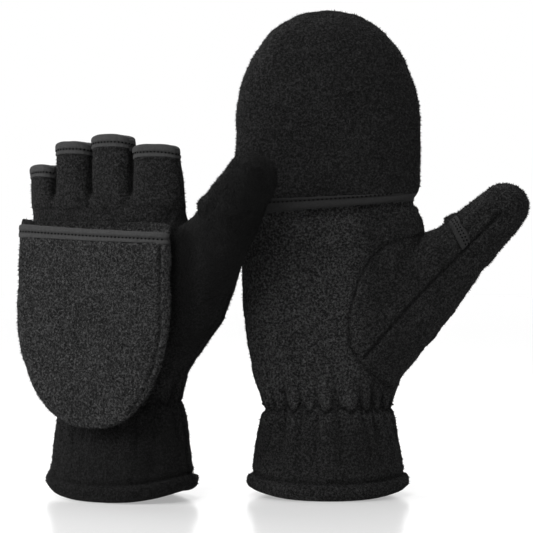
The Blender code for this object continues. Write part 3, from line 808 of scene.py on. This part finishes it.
for side in SIDES:
    names = [side + "_cap_back_panel", side + "_cap_palm_panel"]
    tip = Vector(JOINTS[side + "_cap_pocket"]["pos_m"])
    flip = Vector(JOINTS[side + "_cap_flip"]["pos_m"])
    across = Vector(gloves[side]["axes"][0])
    back_half, palm_half = (np.array([v.co for v in frame["nodes"][n].data.vertices]) for n in names)
    out = (tip - flip).cross(across).normalized()
    if out.dot(Vector(palm_half.mean(axis=0) - back_half.mean(axis=0))) < 0:
        out = -out
    way = (tip - flip) - out * (tip - flip).dot(out)
    way = (way - across * way.dot(across)).normalized()
    half = (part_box("right_cap_back_panel")[1].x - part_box("right_cap_back_panel")[0].x) / 2
    apart = (out + way * SEAM_LEAN[side]).normalized()
    start = tip + apart * POCKET[side][0]
    end = tip + apart * POCKET[side][1]
    bound = np.array([v.co for v in frame["nodes"][side + "_cap_binding"].data.vertices])
    proud = (bound - np.array(flip)) @ np.array(out)
    front = bound[proud > proud.max() - 0.003]
    mouth = ((front - np.array(flip)) @ np.array(way)).min()
    caps[side] = {"tip": tip, "flip": flip, "out": out, "across": across, "way": way}
    caps[side].update({"half": half, "start": start, "end": end, "mouth": mouth})

    solids = [frame["nodes"][n].data for n in names]
    cap = soften(side + "_flip_cap", solids, CAP_VOXEL, CAP_GROW, CAP_ROUNDS)
    unhung = points_of(cap)
    depth = (unhung - np.array(tip)) @ np.array(out)
    fold_way = (unhung - np.array(flip)) @ np.array(way)
    settle_cap(side, cap)
    push(cap, 0.0009 * groove(depth, RIM_SEAM_WIDTH) + uneven(points_of(cap), CAP_UNEVEN))
    length = (tip - flip).length
    above = np.clip((mouth - fold_way) / 0.002, 0, 1) * (depth < SEAM_LEAN[side] * length)
    # Painted shade along the rim seam, and on the left cap over the strip above the mouth's tape,
    # where the fold falls in shade.
    painted_shading = np.maximum(0.6 * bell(depth, RIM_SEAM_WIDTH), 0.55 * above * (side == "left"))
    if side == "left":
        reach = np.clip((fold_way - length + CAP_DOME) / CAP_DOME, 0, 1)
        outline = half * np.sqrt(1 - reach ** 2) ** DOME_ROUND
        gap = outline - (unhung - np.array(flip)) @ np.array(across) - EDGE_SEAM
        shown = (depth > 0.002) * (fold_way > mouth + TAPE_HEIGHT) * (reach < 0.85)
        push(cap, 0.0007 * groove(gap, EDGE_SEAM_WIDTH) * shown)
        # Painted shade in the edge seam's groove.
        painted_shading = np.maximum(painted_shading, 0.55 * bell(gap, EDGE_SEAM_WIDTH) * shown)
    paint_shading(cap, painted_shading)
    taped = (fold_way > mouth - 0.004) & (fold_way < mouth + TAPE_HEIGHT + TAPE_MARGIN)
    mark(cap, "bald", taped & (depth > SEAM_LEAN[side] * 0.08))
    cap.data.materials.append(fleece(side + "_cap_fleece_painted_light", CAP_FLEECE_PAINTED_LIGHT[side]))
    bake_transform(cap)
    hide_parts(*names)
    fuzz = tufts(cap, CAP_TUFTS, CAP_TUFT_SEED)
    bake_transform(fuzz)


# Bindings: stretch knit tape folded over every cut edge and topstitched, smoother than the
# fleece. The thumb's tape runs only from the inner edge of its slit to the long seam, and
# slants towards the palm on its way.
# One tape in two lit copies: the left side's tapes are painted lighter (painted light) than the right
# side's.
TAPE_PAINTED_LIGHT = {"left": (0.0400, 0.0400, 0.0403), "right": (0.0205, 0.0205, 0.0207)}
THUMB_TAPE = (0.0185, 0.0185, 0.0187)
TAPE_VOXEL = 0.0006
TAPE_GROW = 0.0003
TAPE_UNEVEN = ((0.00025, 0.006, 23.0),)
MOUTH_ROUNDS = 24
MOUTH_SQUEEZE = 0.975
ROW_WIDTH = 0.0008
ROW_DEPTH = 0.0004
ROW_SHADE = 0.75
FINGER_ROW = 0.0042
THUMB_TAPE_STRETCH = 1.35
THUMB_ROWS = (0.0029, 0.0047)
MOUTH_ROW = {"left": 0.0039, "right": 0.0056}


def knit_tape(name, colour):
    made = fleece(name, colour, 1.6, 0.0005)
    shader = made.node_tree.nodes["Principled BSDF"]
    shader.inputs["Roughness"].default_value = 0.75
    shader.inputs["Specular IOR Level"].default_value = 0.15
    return made


def bind(name, node, solid, colour, rounds=10):
    tape = soften(name, [solid], TAPE_VOXEL, TAPE_GROW, rounds)
    push(tape, uneven(points_of(tape), TAPE_UNEVEN))
    tape.data.materials.append(knit_tape(name + "_knit", colour))
    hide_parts(node)
    return tape


def stitch_line(tape, row):
    """The needle row draws a shallow line into the tape, painted darker as painted shade."""
    push(tape, -ROW_DEPTH * bell(row, ROW_WIDTH))
    paint_shading(tape, ROW_SHADE * bell(row, ROW_WIDTH))


tapes = {}
for side in SIDES:
    for finger in FINGERS:
        node = side + "_" + finger + "_binding"
        tape = bind(side + "_" + finger + "_tape", node, frame["nodes"][node].data, TAPE_PAINTED_LIGHT[side])
        local = to_glove(side, points_of(tape))
        high_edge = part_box(node)[1].z
        local[:, 2] = high_edge - TAPE_SHARE * (high_edge - local[:, 2])
        row = local[:, 2] - high_edge + FINGER_ROW
        local[:, 2] -= crown(side, local)
        put_points(tape, to_world(side, flatten(side, local)))
        stitch_line(tape, row)
        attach(tape, "gloves")
        tapes[side + "_" + finger] = tape

    node = side + "_cap_binding"
    mouth = bind(side + "_mouth_tape", node, frame["nodes"][node].data, TAPE_PAINTED_LIGHT[side], MOUTH_ROUNDS)
    row = (points_of(mouth) - np.array(caps[side]["flip"])) @ np.array(caps[side]["way"])
    settle_cap(side, mouth, MOUTH_SQUEEZE)
    stitch_line(mouth, row - caps[side]["mouth"] - MOUTH_ROW[side])
    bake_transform(mouth)
    tapes[side + "_mouth"] = mouth

    node = side + "_thumb_cap_binding"
    strap = frame["nodes"][node].data.copy()
    bm = bmesh.new()
    bm.from_mesh(strap)
    half = bmesh.ops.bisect_plane(
        bm, geom=bm.verts[:] + bm.edges[:] + bm.faces[:], dist=1e-7,
        plane_co=gloves[side]["thumb_fold"], plane_no=gloves[side]["thumb_outer"], clear_outer=True,
    )
    rim = [e for e in half["geom_cut"] if isinstance(e, bmesh.types.BMEdge)]
    bmesh.ops.triangle_fill(bm, edges=rim, use_beauty=True)
    bmesh.ops.recalc_face_normals(bm, faces=bm.faces[:])
    bm.to_mesh(strap)
    bm.free()
    ring = bind(side + "_thumb_tape", node, strap, THUMB_TAPE)
    places = points_of(ring)
    along, _ = thumb_share(side, places)
    move = (THUMB_TAPE_STRETCH - 1) * along - slant(side, places)
    put_points(ring, places + move[:, None] * np.array(gloves[side]["thumb_way"]))
    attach(ring, side + "_thumb_flip")
    tapes[side + "_thumb"] = ring


# Stitches: dark polyester thread, one needle row along every tape and two along the thumb's.
# Each stitch is one short bead lying in the cloth.
STITCH_SHARE = 0.32
STITCH_HALF_WIDTH = 0.00055
STITCH_HALF_HEIGHT = 0.00035
FINGER_PITCH = 0.0019
MOUTH_PITCH = 0.0022
THUMB_PITCH = 0.0019
FINGER_RAYS = 400
MOUTH_RAYS = 500
THUMB_RAYS = 200
THUMB_HALF_ROW = 0.017
thread = bpy.data.materials.new("thread")
thread.use_nodes = True
yarn = thread.node_tree.nodes["Principled BSDF"]
yarn.inputs["Base Color"].default_value = (0.002, 0.002, 0.002, 1.0)
yarn.inputs["Roughness"].default_value = 0.9
yarn.inputs["Specular IOR Level"].default_value = 0.05


def surface_of(piece):
    bm = bmesh.new()
    bm.from_mesh(piece.data)
    tree = BVHTree.FromBMesh(bm)
    bm.free()
    return tree


def trace(piece, rays):
    """Where a row of rays meets a piece: (place, normal) pairs."""
    tree = surface_of(piece)
    met = []
    for origin, way in rays:
        place, normal, _, _ = tree.ray_cast(origin, way)
        if place is not None:
            met.append((place, normal))
    return met


def sew(name, met, pitch):
    """Stitches at an even pitch along a traced row."""
    bm = bmesh.new()
    since = pitch
    for (here, normal), (after, _) in zip(met[:-1], met[1:]):
        step = after - here
        since += step.length
        if step.length > 2 * pitch or since < pitch:
            continue
        since = 0.0
        along = step.normalized()
        side_way = normal.cross(along).normalized()
        turn = Matrix((along, side_way, normal)).transposed().to_4x4()
        size = Matrix.Diagonal((pitch * STITCH_SHARE, STITCH_HALF_WIDTH, STITCH_HALF_HEIGHT, 1.0))
        laid = Matrix.Translation(here) @ turn @ size
        bmesh.ops.create_icosphere(bm, subdivisions=1, radius=1.0, matrix=laid)
    mesh = bpy.data.meshes.new(name)
    bm.to_mesh(mesh)
    bm.free()
    mesh.materials.append(thread)
    row = bpy.data.objects.new(name, mesh)
    scene.collection.objects.link(row)
    return row


def ring_rays(centre, radius, count, dip):
    """Rays that close in on an upright axis from all sides, at one height less a dip."""
    rays = []
    for k in range(count + 1):
        angle = 2 * math.pi * k / count
        way = Vector((math.cos(angle), math.sin(angle), 0.0))
        rays.append((centre + way * radius - UP * dip(way), -way))
    return rays


def sweep_rays(centre, across, inward, half, count):
    """Parallel rays spread along a straight line, all heading inward."""
    spread = np.linspace(-half, half, count)
    return [(centre + across * float(s) - inward * 0.06, inward) for s in spread]


for side in SIDES:
    across = Vector(gloves[side]["axes"][0])
    back = Vector(gloves[side]["axes"][1])
    for finger in FINGERS:
        low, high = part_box(side + "_" + finger + "_binding")
        centre = Vector(((low.x + high.x) / 2, (low.y + high.y) / 2, high.z - FINGER_ROW))
        rays = ring_rays(centre, 0.05, FINGER_RAYS, lambda way: CROWN_DROP * abs(way.dot(across)) ** 3)
        met = trace(tapes[side + "_" + finger], rays)
        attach(sew(side + "_" + finger + "_stitches", met, FINGER_PITCH), "gloves")

    cap = caps[side]
    hang = HANG[side]
    rays = []
    for wide in np.linspace(-0.97, 0.97, MOUTH_RAYS):
        rise = MOUTH_TAPER[side] * (1 - MOUTH_ROW[side] / TAPE_HEIGHT) * (1 + wide) / 2
        fall = mouth_fall(side, wide) + rise
        fall += cap["mouth"] + MOUTH_ROW[side]
        place = across * float(wide * cap["half"] * hang["narrow"] + hang["shift"])
        start = cap["flip"] + place + cap["way"] * float(fall)
        rays.append((start + cap["out"] * 0.08, -cap["out"]))
    row = sew(side + "_mouth_stitches", trace(tapes[side + "_mouth"], rays), MOUTH_PITCH)
    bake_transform(row)

    way = gloves[side]["thumb_way"]
    rows = []
    for height in THUMB_ROWS:
        ring = gloves[side]["thumb_fold"] - back * THUMB_HALF_DEPTH + way * height
        rays = sweep_rays(ring, gloves[side]["thumb_outer"], back, THUMB_HALF_ROW, THUMB_RAYS)
        fallen = slant(side, np.array([origin for origin, _ in rays]))
        rays = [(ray[0] - way * float(drop), ray[1]) for ray, drop in zip(rays, fallen)]
        rows += trace(tapes[side + "_thumb"], rays)
    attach(sew(side + "_thumb_stitches", rows, THUMB_PITCH), side + "_thumb_flip")


# Wrist elastic: a woven band sewn round the inside of the wrist while it is stretched. It is
# seen only from below, through the cuff.
ELASTIC = (0.018, 0.018, 0.018)
for side in SIDES:
    band = frame["nodes"][side + "_wrist_elastic"]
    band.data.materials.clear()
    band.data.materials.append(fleece(side + "_elastic_weave", ELASTIC, 1.5, 0.0004))
